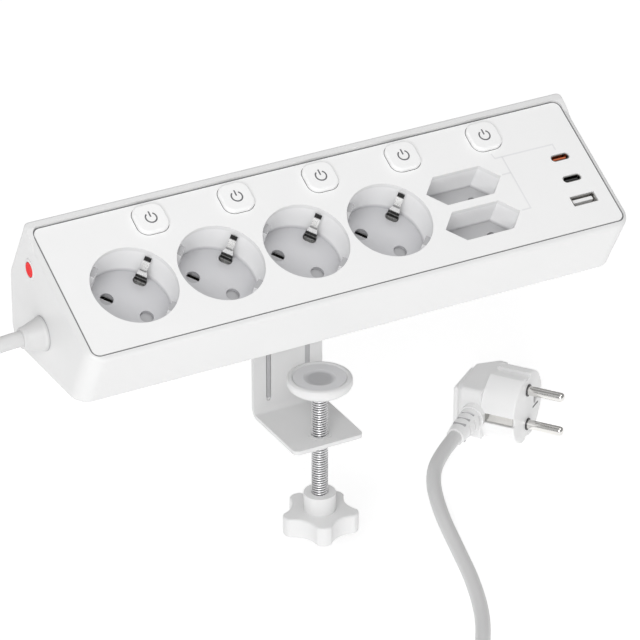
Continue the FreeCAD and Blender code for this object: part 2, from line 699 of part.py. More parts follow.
def bracket_nut_plate():
    inner = BACK_Y - WALL
    plate = box(CLAMP_X - 17, CLAMP_X + 17, inner - 3.5, inner, HANGER_Z - 6, HANGER_Z + 6)
    for side in (-1, 1):
        x = CLAMP_X + side * SLOT_APART / 2
        plate = plate.cut(Part.makeCylinder(1.98, 12, Vec(x, inner - 8, HANGER_Z), Vec(0, 1, 0)))
    return one(plate)


def clamp_nut():
    low = PLATE_TOP - BRACKET_THICK
    bush = cylinder(CLAMP_X, SCREW_Y, low, PLATE_TOP + 0.2, 5.45)
    collar = cylinder(CLAMP_X, SCREW_Y, low - 1.5, low, 7.0)
    return one(bush.fuse(collar).cut(cylinder(CLAMP_X, SCREW_Y, low - 3, PLATE_TOP + 2, SCREW_R + 0.05)))


PAD_LOW = PAD_TOP - PAD_HIGH
WEB_TOP = PAD_TOP - 3.2


def upright(profile):
    """A (radius, z) profile turned about the clamp screw's axis."""
    return revolved(profile, Vec(CLAMP_X, SCREW_Y, 0), Vec(0, 0, 1))


def clamp_screw():
    profile = ((0, KNOB_BOTTOM + 2), (SCREW_R, KNOB_BOTTOM + 2), (SCREW_R, PAD_LOW - 0.9),
               (SCREW_R - 0.6, PAD_LOW - 0.3), (3.0, PAD_LOW - 0.3), (3.0, WEB_TOP + 0.2),
               (4.8, WEB_TOP + 0.2), (4.8, WEB_TOP + 0.8), (4.4, WEB_TOP + 1.1), (0, WEB_TOP + 1.1))
    return upright(profile)


def clamp_pad():
    seat = PAD_TOP - 1.9
    profile = ((3.1, PAD_LOW), (9.5, PAD_LOW), (13.2, PAD_LOW + 0.8), (14.6, PAD_LOW + 2.0),
               (PAD_R, PAD_LOW + 3.4), (PAD_R, PAD_TOP - 1.5), (PAD_R - 0.4, PAD_TOP - 0.5),
               (PAD_R - 1.3, PAD_TOP), (13.1, PAD_TOP), (12.4, PAD_TOP - 0.6), (12.4, seat),
               (6.6, seat), (6.6, WEB_TOP), (3.1, WEB_TOP))
    return upright(profile)


def pad_disc():
    """A disc let into the pad, dished in the middle; it covers the screw's head."""
    seat = PAD_TOP - 1.9
    profile = ((0, seat), (12.3, seat), (12.3, PAD_TOP - 0.5), (7.6, PAD_TOP - 0.6), (6.0, PAD_TOP - 1.2),
               (4.0, PAD_TOP - 1.4), (0, PAD_TOP - 1.4))
    return upright(profile)


def star_knob():
    lobes = 5
    valley = 13.4
    shoulder = KNOB_R - 0.9
    half = 11.5
    step = 360.0 / lobes

    def at(r, degrees):
        a = math.radians(degrees + KNOB_TURN)
        return Vec(CLAMP_X + r * math.cos(a), SCREW_Y + r * math.sin(a), KNOB_BOTTOM)

    edges = []
    for k in range(lobes):
        a = k * step
        edges.append(Part.Arc(at(shoulder, a - half), at(KNOB_R, a), at(shoulder, a + half)).toShape())
        edges.append(Part.Arc(at(shoulder, a + half), at(valley, a + step / 2),
                              at(shoulder, a + step - half)).toShape())
    star = Part.Face(Part.Wire(edges)).extrude(Vec(0, 0, LOBE_TOP - KNOB_BOTTOM))
    corners = [e for e in star.Edges if abs(e.Vertexes[0].Z - e.Vertexes[-1].Z) > 5]
    star = star.makeFillet(1.6, corners)
    rims = [e for e in star.Edges if abs(e.Vertexes[0].Z - e.Vertexes[-1].Z) < 0.01]
    star = star.makeFillet(1.0, rims)
    hub = cylinder(CLAMP_X, SCREW_Y, LOBE_TOP - 1, HUB_TOP, HUB_R)
    star = star.fuse(hub)
    return one(star.cut(cylinder(CLAMP_X, SCREW_Y, KNOB_BOTTOM + 2, HUB_TOP + 1, SCREW_R)))


# ---- the cord and its plug ----

def cord_coil():
    profile = ((COIL_INNER, 2.2), (COIL_INNER + 2.2, 0), (COIL_OUTER - 2.2, 0), (COIL_OUTER, 2.2),
               (COIL_OUTER, 6.0), (COIL_OUTER - 5.4, COIL_HIGH), (COIL_INNER + 5.4, COIL_HIGH),
               (COIL_INNER, 6.0))
    return revolved(profile, Vec(COIL_X, COIL_Y, FLOOR), Vec(0, 0, 1))


def plug_placed(shape):
    """Local axes: +X the way the pins point, -Y the way the cord leaves, Z across the pins."""
    return moved(shape, App.Placement(Vec(PLUG_X, PLUG_Y, PLUG_Z), App.Rotation(Vec(0, 0, 1), PLUG_YAW)))


RELIEF_X = -21.0
RELIEF_END = -41.6


def plug_body():
    nose = Part.makeCylinder(PLUG_R, 17.5, Vec(-17.5, 0, 0), Vec(1, 0, 0))
    nose = nose.common(box(-30, 5, -PLUG_R, PLUG_R, -PLUG_FLAT, PLUG_FLAT))
    rim = [e for e in nose.Edges if abs(e.CenterOfMass.x) < 0.01]
    nose = nose.makeFillet(0.8, rim)
    outline = ((-17.5, 16.5), (-21.5, 17.0), (-31.5, 8.5), (-31.5, -13.5), (-28.5, -18.0), (-17.5, -18.2))
    corners = [Vec(x, y, -13.5) for x, y in outline]
    rear = Part.Face(Part.makePolygon(corners + corners[:1])).extrude(Vec(0, 0, 27.0))
    edges = [e for e in rear.Edges if e.CenterOfMass.x < -17.6]
    rear = rear.makeFillet(2.4, edges)
    grip = box(-34.0, -31.0, -14.0, 9.0, -10.5, 10.5)
    grip = grip.makeFillet(1.3, grip.Edges)
    relief = Part.makeCylinder(6.5, 8.0, Vec(RELIEF_X, -14, 0), Vec(0, -1, 0))
    cone = Part.makeCone(6.0, 4.5, -22.0 - RELIEF_END, Vec(RELIEF_X, -22, 0), Vec(0, -1, 0))
    body = nose.fuse(rear).fuse(grip).fuse(relief).fuse(cone)
    for y in (-26.0, -31.0, -36.0):
        for side in (-1, 1):
            body = body.cut(box(RELIEF_X - 3.4, RELIEF_X + 3.4, y - 0.8, y + 0.8, side * 5.6 - 1.5,
                                side * 5.6 + 1.5))
        for side in (-1, 1):
            body = body.cut(box(RELIEF_X + side * 5.6 - 1.5, RELIEF_X + side * 5.6 + 1.5, y + 1.7, y + 3.3,
                                -3.4, 3.4))
    for side in (-1, 1):
        body = body.cut(box(-18.0, 1, -2.8, 2.8, side * PLUG_FLAT - 1.9, side * PLUG_FLAT + 1.9))
        body = body.cut(box(-15.5, 1, side * PLUG_R - 2.2, side * PLUG_R + 2.2, -2.6, 2.6))
        body = body.cut(Part.makeCylinder(2.4, 14, Vec(-12, 0, side * 9.5), Vec(1, 0, 0)))
    body = body.cut(Part.makeCylinder(2.6, 16, Vec(-15, 10.0, 0), Vec(1, 0, 0)))
    return one(plug_placed(body))


def plug_pins():
    pins = []
    for side in (-1, 1):
        pin = Part.makeCylinder(2.4, 31, Vec(-12, 0, side * 9.5), Vec(1, 0, 0))
        tip = [e for e in pin.Edges if e.CenterOfMass.x > 18.9]
        pins.append(plug_placed(pin.makeFillet(1.9, tip)))
    return pins


def plug_earth():
    """The two earth contacts, in their side grooves, and the sleeve behind the earth hole."""
    parts = []
    for side in (-1, 1):
        low = side * (PLUG_R - 2.15)
        high = side * (PLUG_R - 1.2)
        parts.append(box(-15.5, -1.0, min(low, high), max(low, high), -2.3, 2.3))
    sleeve = Part.makeCylinder(2.6, 13, Vec(-15, 10.0, 0), Vec(1, 0, 0))
    parts.append(sleeve.cut(Part.makeCylinder(2.35, 16, Vec(-14, 10.0, 0), Vec(1, 0, 0))))
    return [plug_placed(p) for p in parts]


def main():
    os.makedirs("parts", exist_ok=True)
    save("upper_housing", upper_housing())
    save("bottom_cover", bottom_cover())
    save("anti_slip_pad", anti_slip_pad())
    save("cover_screws", *cover_screws())
    save("face_panel", face_panel())
    for k, u in enumerate(SOCKET_U, 1):
        save("socket_cup_%d" % k, socket_cup(u))
        save("earth_clip_%d" % k, earth_clip(u))
        save("shutter_%d" % k, shutter(u))
    for k, v in enumerate(FLAT_V, 1):
        save("flat_cup_%d" % k, flat_cup(v))
        save("flat_shutter_%d" % k, flat_shutter(v))
    save("pin_contacts", *pin_contacts())
    save("live_busbar", busbar(LIVE_V, FLAT_U - PIN_OUT))
    save("neutral_busbar", busbar(NEUTRAL_V, FLAT_U + PIN_OUT))
    save("earth_strip", earth_strip())
    for k, u in enumerate(BUTTON_U, 1):
        save("power_button_%d" % k, power_button(u))
        save("switch_module_%d" % k, switch_module(u))
    save("reset_button", reset_button())
    save("circuit_breaker", circuit_breaker())
    save("usb_shells", *usb_shells())
    save("usb_a_tongue", usb_a_tongue())
    for k, v in enumerate(USB_C_V, 1):
        save("usb_c_tongue_%d" % k, usb_c_tongue(v))
    save("charger_board", charger_board())
    save("charger_parts", *charger_parts())
    save("cable_gland", cable_gland())
    save("gland_fork", gland_fork())
    save("internal_leads", *internal_leads())
    save("clamp_bracket", clamp_bracket())
    save("bracket_screws", *bracket_screws())
    save("bracket_nut_plate", bracket_nut_plate())
    save("clamp_nut", clamp_nut())
    save("clamp_screw", clamp_screw())
    save("clamp_pad", clamp_pad())
    save("pad_disc", pad_disc())
    save("star_knob", star_knob())
    save("cord_lead", tube(CORD_LEAD, CORD_R, "cord_lead"))
    save("cord_coil", cord_coil())
    save("cord_tail", tube(CORD_TAIL, CORD_R, "cord_tail"))
    save("plug_body", plug_body())
    save("plug_pins", *plug_pins())
    save("plug_earth", *plug_earth())


main()
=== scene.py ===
import math

import bpy
from mathutils import Matrix, Vector


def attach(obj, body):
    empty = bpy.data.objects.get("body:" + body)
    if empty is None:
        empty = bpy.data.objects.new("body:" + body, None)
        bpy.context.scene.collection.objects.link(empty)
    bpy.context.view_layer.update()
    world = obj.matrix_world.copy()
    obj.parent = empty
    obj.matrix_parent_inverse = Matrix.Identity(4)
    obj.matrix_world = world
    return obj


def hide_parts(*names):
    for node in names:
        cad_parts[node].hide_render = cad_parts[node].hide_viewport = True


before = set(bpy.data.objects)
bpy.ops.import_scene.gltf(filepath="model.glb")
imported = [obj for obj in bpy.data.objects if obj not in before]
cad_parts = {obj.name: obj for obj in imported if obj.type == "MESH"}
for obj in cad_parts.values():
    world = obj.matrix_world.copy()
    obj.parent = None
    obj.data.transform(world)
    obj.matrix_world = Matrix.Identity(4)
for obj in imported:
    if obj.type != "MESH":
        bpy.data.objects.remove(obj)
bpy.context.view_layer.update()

MM = 0.001

# ---- the sloping face, as the CAD model has it ----
SLOPE = math.radians(28.6)
FACE_Y = -37.5 * MM
FACE_Z = 30.3 * MM
PANEL_HALF = 132.55
PANEL_DEPTH = 68.7
BUTTONS_U = (-79.6, -37.5, 4.6, 46.7, 88.8)
BUTTON_V = 59.5
BUTTON_TOP = 2.0
BUTTON_WIDE = 15.0
BUTTON_CORNER = 5.0
PANEL_GAP = 0.7
PANEL_CORNER = 3.4
SOCKETS_U = (-100.5, -58.4, -16.3, 25.8)
SOCKET_V = 29.6

# ---- the cord's gland on the left end ----
GLAND_Y = 8.4
GLAND_Z = 20.3

# ---- the camera ----
AZIMUTH = math.radians(-28.63)
ELEVATION = math.radians(28.85)
DISTANCE = 1.8625
ASIDE = -0.02088
BELOW = -0.01497
LENS = 239.6

FLOOR = -145.0


def face_point(u, v, h):
    """A point of the sloping face in millimetres, as a point of the row frame in metres."""
    y = v * MM * math.cos(SLOPE) - h * MM * math.sin(SLOPE)
    z = v * MM * math.sin(SLOPE) + h * MM * math.cos(SLOPE)
    return Vector((u * MM, FACE_Y + y, FACE_Z + z))


def add_camera():
    right = Vector((math.cos(AZIMUTH), math.sin(AZIMUTH), 0))
    back = Vector((math.sin(AZIMUTH) * math.cos(ELEVATION), -math.cos(AZIMUTH) * math.cos(ELEVATION),
                   math.sin(ELEVATION)))
    up = back.cross(right)
    data = bpy.data.cameras.new("camera")
    data.lens = LENS
    data.sensor_width = 36.0
    data.clip_start = 0.05
    data.clip_end = 60.0
    camera = bpy.data.objects.new("camera", data)
    bpy.context.scene.collection.objects.link(camera)
    place = Matrix((right, up, back)).transposed().to_4x4()
    place.translation = Vector((0, FACE_Y, FACE_Z)) + back * DISTANCE + right * ASIDE + up * BELOW
    camera.matrix_world = place
    bpy.context.scene.camera = camera


add_camera()


# ---- materials ----

class Nodes:
    """A material's node tree, with short ways to add nodes to it."""

    def __init__(self, name):
        self.material = bpy.data.materials.new(name)
        self.material.use_nodes = True
        self.tree = self.material.node_tree
        self.shader = self.tree.nodes["Principled BSDF"]
        place = self.tree.nodes.new("ShaderNodeTexCoord")
        self.place = place.outputs["Object"]

    def measured_from(self, point):
        """A point's offset in metres from that point of the row frame."""
        node = self.add("ShaderNodeVectorMath", operation="SUBTRACT")
        node.inputs[1].default_value = point
        self.link(self.place, node.inputs[0])
        return node.outputs["Vector"]

    def add(self, kind, **settings):
        node = self.tree.nodes.new(kind)
        for key, value in settings.items():
            setattr(node, key, value)
        return node

    def link(self, a, b):
        self.tree.links.new(a, b)

    def noise(self, scale, detail=4.0, stretch=(1, 1, 1)):
        mapping = self.add("ShaderNodeMapping")
        mapping.inputs["Scale"].default_value = stretch
        self.link(self.place, mapping.inputs["Vector"])
        noise = self.add("ShaderNodeTexNoise")
        noise.inputs["Scale"].default_value = scale
        noise.inputs["Detail"].default_value = detail
        self.link(mapping.outputs["Vector"], noise.inputs["Vector"])
        return noise.outputs["Fac"]

    def ramp(self, source, low, high, start=0.3, end=0.7):
        """Maps a texture onto the range from low to high, between two of its levels."""
        node = self.add("ShaderNodeMapRange")
        node.inputs["From Min"].default_value = start
        node.inputs["From Max"].default_value = end
        node.inputs["To Min"].default_value = low
        node.inputs["To Max"].default_value = high
        self.link(source, node.inputs["Value"])
        return node.outputs["Result"]

    def tint(self, source, first, second):
        node = self.add("ShaderNodeMix", data_type="RGBA")
        node.inputs["A"].default_value = (*first, 1)
        node.inputs["B"].default_value = (*second, 1)
        self.link(source, node.inputs["Factor"])
        return node.outputs["Result"]

    def bump(self, source, depth, distance=0.001):
        node = self.add("ShaderNodeBump")
        node.inputs["Strength"].default_value = depth
        node.inputs["Distance"].default_value = distance
        self.link(source, node.inputs["Height"])
        self.link(node.outputs["Normal"], self.shader.inputs["Normal"])


def moulded(name, colour, rough, grain=1500.0, depth=0.03, spread=0.012, coat=0.0, sheen=0.0):
    """Moulded plastic: a fine spark-eroded grain, slightly uneven gloss and a faint mottle in the colour."""
    n = Nodes(name)
    mottle = n.ramp(n.noise(35.0, 3.0), 0.0, 1.0)
    darker = tuple(c * (1 - spread) for c in colour)
    n.link(n.tint(mottle, colour, darker), n.shader.inputs["Base Color"])
    n.link(n.ramp(n.noise(220.0, 5.0), rough * 0.9, rough * 1.12), n.shader.inputs["Roughness"])
    n.bump(n.noise(grain, 2.0), depth, 0.0004)
    n.shader.inputs["Coat Weight"].default_value = coat
    n.shader.inputs["Coat Roughness"].default_value = 0.15
    n.shader.inputs["Sheen Weight"].default_value = sheen
    return n.material


def metal(name, colour, rough, brush=(1, 1, 1), depth=0.02, spread=0.08):
    """Plated or bare metal with fine drawing lines and small stains."""
    n = Nodes(name)
    stain = n.ramp(n.noise(140.0, 5.0), 0.0, 1.0)
    darker = tuple(c * (1 - spread) for c in colour)
    n.link(n.tint(stain, colour, darker), n.shader.inputs["Base Color"])
    lines = n.noise(900.0, 3.0, brush)
    n.link(n.ramp(lines, rough * 0.75, rough * 1.3), n.shader.inputs["Roughness"])
    n.bump(lines, depth, 0.0003)
    n.shader.inputs["Metallic"].default_value = 1.0
    return n.material


CLAMP_X = 3.1
SCREW_Y = 12.0
CREST = 3.88
ROOT = 3.15


def from_screw_axis(n):
    """A point's distance in metres from the clamp screw's axis."""
    level = n.add("ShaderNodeVectorMath", operation="MULTIPLY")
    level.inputs[1].default_value = (1, 1, 0)
    n.link(n.measured_from((CLAMP_X * MM, SCREW_Y * MM, 0)), level.inputs[0])
    length = n.add("ShaderNodeVectorMath", operation="LENGTH")
    n.link(level.outputs["Vector"], length.inputs[0])
    return length.outputs["Value"]


def above_face(n):
    """A point's height in metres above the sloping face."""
    along = n.add("ShaderNodeVectorMath", operation="DOT_PRODUCT")
    along.inputs[1].default_value = (0, -math.sin(SLOPE), math.cos(SLOPE))
    n.link(n.measured_from((0, FACE_Y, FACE_Z)), along.inputs[0])
    return along.outputs["Value"]


def threaded(name, low, high):
    """Bright steel, with painted shade in the roots of its thread."""
    n = Nodes(name)
    crest = n.ramp(from_screw_axis(n), 0.0, 1.0, (ROOT + 0.08) * MM, (ROOT + 0.42) * MM)
    n.link(n.tint(crest, low, high), n.shader.inputs["Base Color"])
    n.link(n.ramp(n.noise(900.0, 3.0), 0.22, 0.34), n.shader.inputs["Roughness"])
    n.shader.inputs["Metallic"].default_value = 1.0
    return n.material


def pad_face(name, middle, rim):
    """A soft pad, with painted shade in the hollow at its middle."""
    n = Nodes(name)
    out = n.ramp(from_screw_axis(n), 0.0, 1.0, 5.2 * MM, 7.8 * MM)
    n.link(n.tint(out, middle, rim), n.shader.inputs["Base Color"])
    n.link(n.ramp(n.noise(300.0), 0.5, 0.62), n.shader.inputs["Roughness"])
    n.bump(n.noise(900.0, 2.0), 0.05, 0.0004)
    return n.material


def cup_finish(name, floor, rim, low):
    """A socket's moulding, greyer below the height low, in millimetres from the face, for the shade there."""
    n = Nodes(name)
    height = n.ramp(above_face(n), 0.0, 1.0, low * MM, (low + 2.5) * MM)
    n.link(n.tint(height, floor, rim), n.shader.inputs["Base Color"])
    n.link(n.ramp(n.noise(120.0), 0.32, 0.42), n.shader.inputs["Roughness"])
    n.bump(n.noise(1500.0, 2.0), 0.01, 0.0004)
    return n.material


CLIP_LOW = -19.0
CLIP_HIGH = -2.6
# how far up the clip, and how bright
CLIP_BANDS = ((0.0, 0.6), (0.05, 0.95), (0.10, 0.05), (0.19, 0.04), (0.23, 0.55), (0.27, 0.04), (0.40, 0.04),
              (0.44, 0.98), (0.58, 0.98), (0.62, 0.2), (0.68, 0.8), (0.88, 0.9), (0.91, 0.02), (1.0, 0.02))


def clip_finish(name):
    """Nickel strip, with the dark and bright bands that its reflections make painted on by height."""
    n = Nodes(name)
    height = n.ramp(above_face(n), 0.0, 1.0, CLIP_LOW * MM, CLIP_HIGH * MM)
    bands = n.add("ShaderNodeValToRGB")
    stops = bands.color_ramp.elements
    while len(stops) < len(CLIP_BANDS):
        stops.new(0.5)
    for stop, (place, tone) in zip(stops, CLIP_BANDS):
        stop.position = place
        stop.color = (tone, tone, tone * 0.99, 1)
    n.link(height, bands.inputs["Fac"])
    n.link(bands.outputs["Color"], n.shader.inputs["Base Color"])
    n.link(n.ramp(n.noise(500.0), 0.22, 0.34), n.shader.inputs["Roughness"])
    n.shader.inputs["Metallic"].default_value = 0.6
    return n.material


HOUSING = moulded("housing_white", (0.75, 0.75, 0.75), 0.36, 1700.0, 0.006, coat=0.06)
PANEL = moulded("panel_white", (0.88, 0.88, 0.88), 0.48, 2600.0, 0.01)
INSERT = moulded("insert_white", (0.79, 0.79, 0.80), 0.36, 1500.0, 0.01)
CUP = cup_finish("cup_white", (0.57, 0.57, 0.585), (0.97, 0.97, 0.975), -17.4)
FLAT_INSERT = cup_finish("flat_insert_white", (0.42, 0.42, 0.43), (0.97, 0.97, 0.975), -16.4)
SHUTTER = moulded("shutter_grey", (0.46, 0.46, 0.47), 0.45, 1500.0, 0.01)
BUTTON = moulded("button_white", (0.90, 0.90, 0.90), 0.30, 2200.0, 0.01, coat=0.1)
KNOB = moulded("knob_white", (0.77, 0.77, 0.77), 0.36, 1300.0, 0.01)
PLUG = moulded("plug_white", (0.80, 0.80, 0.80), 0.38, 1300.0, 0.01)
PAD = moulded("pad_white", (0.75, 0.75, 0.75), 0.40, 1200.0, 0.01)
# the grey middle is painted shade in the pad's hollow
PAD_FACE = pad_face("pad_face_grey", (0.46, 0.46, 0.47), (0.72, 0.72, 0.73))
RUBBER = moulded("rubber_grey", (0.42, 0.42, 0.43), 0.62, 900.0, 0.10, 0.05)
CORD = moulded("cord_white", (0.63, 0.63, 0.63), 0.42, 800.0, 0.02, 0.02, sheen=0.1)
PAINTED = moulded("steel_painted_white", (0.74, 0.74, 0.74), 0.42, 700.0, 0.03, 0.02)
# grey for the painted shade in the leg's grooves
LEG_GROOVE_SHADE = moulded("leg_groove_shade_grey", (0.47, 0.47, 0.48), 0.60, 900.0, 0.03, 0.05)
RED = moulded("reset_red", (0.90, 0.004, 0.008), 0.62, 1500.0, 0.01, 0.06)
ORANGE = moulded("tongue_orange", (0.60, 0.13, 0.04), 0.40, 1500.0, 0.01, 0.06)
BLACK = moulded("plastic_black", (0.03, 0.03, 0.032), 0.40, 1300.0, 0.03, 0.15)
TIE = moulded("tie_grey", (0.35, 0.35, 0.36), 0.50, 900.0, 0.05, 0.05)
BOARD = moulded("board_green", (0.02, 0.16, 0.07), 0.30, 500.0, 0.05, 0.25, coat=0.4)
SHEATH = moulded("lead_sheath", (0.20, 0.12, 0.08), 0.45, 800.0, 0.03, 0.05)
GAP = moulded("gap_dark", (0.19, 0.19, 0.195), 0.60, 900.0, 0.05, 0.10)
PRINT = moulded("print_grey", (0.13, 0.13, 0.14), 0.50, 2600.0, 0.01, 0.10)
SHADE = moulded("shade_grey", (0.44, 0.44, 0.45), 0.55, 900.0, 0.02, 0.04)
FAINT = moulded("print_faint", (0.79, 0.79, 0.80), 0.45, 2600.0, 0.01, 0.04)
ZINC = metal("zinc_steel", (0.55, 0.55, 0.56), 0.24, (1, 1, 6))
NICKEL = metal("nickel", (0.62, 0.61, 0.59), 0.14, (1, 1, 5), 0.01)
PINS = metal("pin_nickel", (0.78, 0.77, 0.75), 0.12, (3, 3, 1))
BRASS = metal("brass", (0.72, 0.50, 0.20), 0.28, (5, 1, 1))
# brass painted near black: painted shade for the socket holes that the pin contacts sit in
BRASS_PAINTED_SHADE = metal("brass_painted_shade", (0.05, 0.045, 0.04), 0.45)
CLIP = clip_finish("clip_nickel")
# steel with painted shade in its thread's roots
THREAD = threaded("thread_steel", (0.03, 0.03, 0.032), (0.92, 0.92, 0.93))

FINISHES = {
    "upper_housing": HOUSING, "bottom_cover": HOUSING, "face_panel": PANEL, "anti_slip_pad": RUBBER,
    "cover_screws": ZINC, "pin_contacts": BRASS_PAINTED_SHADE, "live_busbar": BRASS, "neutral_busbar": BRASS,
    "earth_strip": BRASS, "circuit_breaker": BLACK, "usb_shells": NICKEL, "usb_a_tongue": PANEL,
    "usb_c_tongue_1": ORANGE, "usb_c_tongue_2": BLACK, "charger_board": BOARD, "charger_parts": BLACK,
    "cable_gland": CORD, "gland_fork": INSERT, "internal_leads": SHEATH, "bracket_screws": ZINC,
    "bracket_nut_plate": ZINC, "plug_body": PLUG, "plug_pins": PINS, "plug_earth": NICKEL,
    "clamp_bracket": PAINTED, "clamp_nut": PAINTED, "clamp_pad": PAD, "pad_disc": PAD_FACE,
    "clamp_screw": ZINC, "star_knob": KNOB, "reset_button": RED,
    "cord_lead": CORD, "cord_coil": CORD, "cord_tail": CORD,
}
FAMILIES = {
    "socket_cup": CUP, "earth_clip": CLIP, "shutter": SHUTTER, "flat_cup": FLAT_INSERT,
    "flat_shutter": SHUTTER, "power_button": BUTTON, "switch_module": BLACK,
}


def finish_of(name):
    if name in FINISHES:
        return FINISHES[name]
    return FAMILIES[name.rsplit("_", 1)[0]]


def dress_cad_nodes():
    for name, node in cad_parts.items():
        node.data.materials.clear()
        node.data.materials.append(finish_of(name))


dress_cad_nodes()


# ---- new pieces ----

def new_mesh(name, points, faces, material, smooth=False):
    mesh = bpy.data.meshes.new(name)
    mesh.from_pydata([tuple(p) for p in points], [], faces)
    mesh.validate()
    mesh.materials.append(material)
    for face in mesh.polygons:
        face.use_smooth = smooth
    piece = bpy.data.objects.new(name, mesh)
    bpy.context.scene.collection.objects.link(piece)
    return piece


BOX_FACES = [(0, 1, 3, 2), (4, 6, 7, 5), (0, 4, 5, 1), (2, 3, 7, 6), (0, 2, 6, 4), (1, 5, 7, 3)]
RING_SIDES = ((0, 1), (1, 2), (2, 3), (3, 0))


def box(name, xs, ys, zs, material, body, to_row):
    """A box between pairs of coordinates, which to_row takes into the row frame in metres."""
    points = [to_row(x, y, z) for x in xs for y in ys for z in zs]
    piece = new_mesh(name, points, BOX_FACES, material)
    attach(piece, body)
    return piece


def band_faces(count, sides=RING_SIDES, closed=True):
    """The four-sided faces between rows of count points, for each pair of rows in sides."""
    faces = []
    for k in range(count if closed else count - 1):
        n = (k + 1) % count
        for a, b in sides:
            faces.append((a * count + k, a * count + n, b * count + n, b * count + k))
    return faces


def ring(name, profile, around, material, to_row):
    """A ring about the X axis with that profile of (radius, x), riding on the housing."""
    points = []
    for radius, x in profile:
        for k in range(around):
            a = 2 * math.pi * k / around
            points.append(to_row(x, radius * math.cos(a), radius * math.sin(a)))
    piece = new_mesh(name, points, band_faces(around), material)
    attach(piece, "housing")
    return piece


# ---- the mains cord ----

CORD_R = 3.6
CORD_Z = FLOOR + CORD_R
LEAD = (
    (-146.1, 8.4, 20.3), (-161, 8.4, 20.3), (-184, 10, 11), (-202, 10, -12), (-211, 8, -41),
    (-214, 4, -72), (-212, -2, -101), (-203, -13, -125), (-188, -30, -138.5), (-170, -48, CORD_Z),
    (-154, -64, CORD_Z), (-145.6, -81, CORD_Z),
)
TAIL = (
    (-76, -144, -135.2), (-50, -142, -138.8), (-17, -134, CORD_Z), (6, -117, CORD_Z),
    (28, -94, CORD_Z), (46, -66, CORD_Z), (58, -36, CORD_Z), (66, -8, CORD_Z), (71, 17, -136.5),
    (77.5, 37, -130.5), (88.96, 50.32, -127.4), (104.99, 62.27, -127.4),
)
COIL_X = -98.0
COIL_Y = -100.0
TURNS = 4.25
PER_TURN = 16
# turn, radius and height above the floor: out to in along the floor, then in to out on top
COIL_STEPS = (
    (0.0, 47.6, 3.6), (0.88, 47.6, 3.6), (1.0, 40.3, 3.6), (1.88, 40.3, 3.6), (2.0, 33.0, 3.6),
    (2.74, 33.0, 3.6), (2.88, 36.6, 9.9), (2.94, 36.6, 10.9), (3.0, 36.6, 9.9), (3.88, 36.6, 9.9),
    (3.94, 40.3, 10.8), (4.0, 43.9, 9.9), (4.25, 43.9, 9.9),
)


def coil_at(turn):
    """The radius and height of the cord's middle at that many turns from where it reaches the coil."""
    for (t0, r0, z0), (t1, r1, z1) in zip(COIL_STEPS, COIL_STEPS[1:]):
        if turn <= t1:
            share = (turn - t0) / (t1 - t0)
            return r0 + (r1 - r0) * share, z0 + (z1 - z0) * share
    return COIL_STEPS[-1][1:]


def coil_points():
    points = []
    swell = 1.0 / math.cos(math.pi / PER_TURN)
    count = round(TURNS * PER_TURN)
    for k in range(1, count):
        turn = k / PER_TURN
        radius, height = coil_at(turn)
        angle = math.radians(180 + 360 * turn)
        x = COIL_X + radius * swell * math.cos(angle)
        y = COIL_Y + radius * swell * math.sin(angle)
        points.append((x, y, FLOOR + height))
    return points


def add_cord():
    data = bpy.data.curves.new("mains_cord", "CURVE")
    data.dimensions = "3D"
    data.bevel_depth = CORD_R * MM
    data.bevel_resolution = 6
    data.resolution_u = 6
    data.use_fill_caps = True
    spline = data.splines.new("NURBS")
    points = list(LEAD) + coil_points() + list(TAIL)
    spline.points.add(len(points) - 1)
    for point, place in zip(spline.points, points):
        point.co = (*(c * MM for c in place), 1.0)
    spline.order_u = 3
    spline.use_endpoint_u = True
    data.materials.append(CORD)
    cord = bpy.data.objects.new("mains_cord", data)
    bpy.context.scene.collection.objects.link(cord)
    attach(cord, "housing")
    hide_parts("cord_lead", "cord_coil", "cord_tail")
    return cord


# ---- the tie round the coil ----

TIE_TURN = 0.125
TIE_WIDE = 6.0
TIE_THICK = 0.9


def hull_point(centres, reach, angle):
    """The outermost point, in one direction, of round sections with that reach about their centres."""
    way = (math.cos(angle), math.sin(angle))
    middle = max(centres, key=lambda c: c[0] * way[0] + c[1] * way[1])
    return middle[0] + reach * way[0], max(0.0, middle[1] + reach * way[1])


def add_tie():
    centres = [coil_at(TIE_TURN + k) for k in range(5)]
    turn = math.radians(180 + 360 * TIE_TURN)
    around = 48
    points = []
    for side in (-1, 1):
        for reach in (CORD_R + 0.05, CORD_R + TIE_THICK):
            for k in range(around):
                radius, height = hull_point(centres, reach, 2 * math.pi * k / around)
                x = radius * math.cos(turn) - side * TIE_WIDE / 2 * math.sin(turn)
                y = radius * math.sin(turn) + side * TIE_WIDE / 2 * math.cos(turn)
                points.append(((COIL_X + x) * MM, (COIL_Y + y) * MM, (FLOOR + height) * MM))
    tie = new_mesh("coil_tie", points, band_faces(around, ((0, 1), (1, 3), (3, 2), (2, 0))), TIE)
    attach(tie, "housing")
    return tie


# ---- the plug's small parts ----

PLUG_AT = Vector((150.9, 70.3, -127.4))
PLUG_YAW = math.radians(-53.3)
PIN_APART = 19.0


def plug_point(x, y, z):
    """A point in the plug's own axes (x the way the pins point), in the row frame in metres."""
    turned = Matrix.Rotation(PLUG_YAW, 3, "Z") @ Vector((x, y, z))
    return (turned + PLUG_AT) * MM


EARTH_SLOT_Z = 3.6
RELIEF_X = -21.0
RELIEF_YS = (-26.0, -31.0, -36.0)


def plug_block(name, xs, ys, zs, material):
    return box(name, xs, ys, zs, material, "housing", plug_point)


def pin_collar(k, side):
    profile = ((2.45, -0.3), (3.1, -0.3), (3.1, 0.5), (2.45, 0.5))
    z = side * PIN_APART / 2
    return ring("pin_collar_%d" % k, profile, 32, BLACK, lambda x, up, out: plug_point(x, up, z + out))


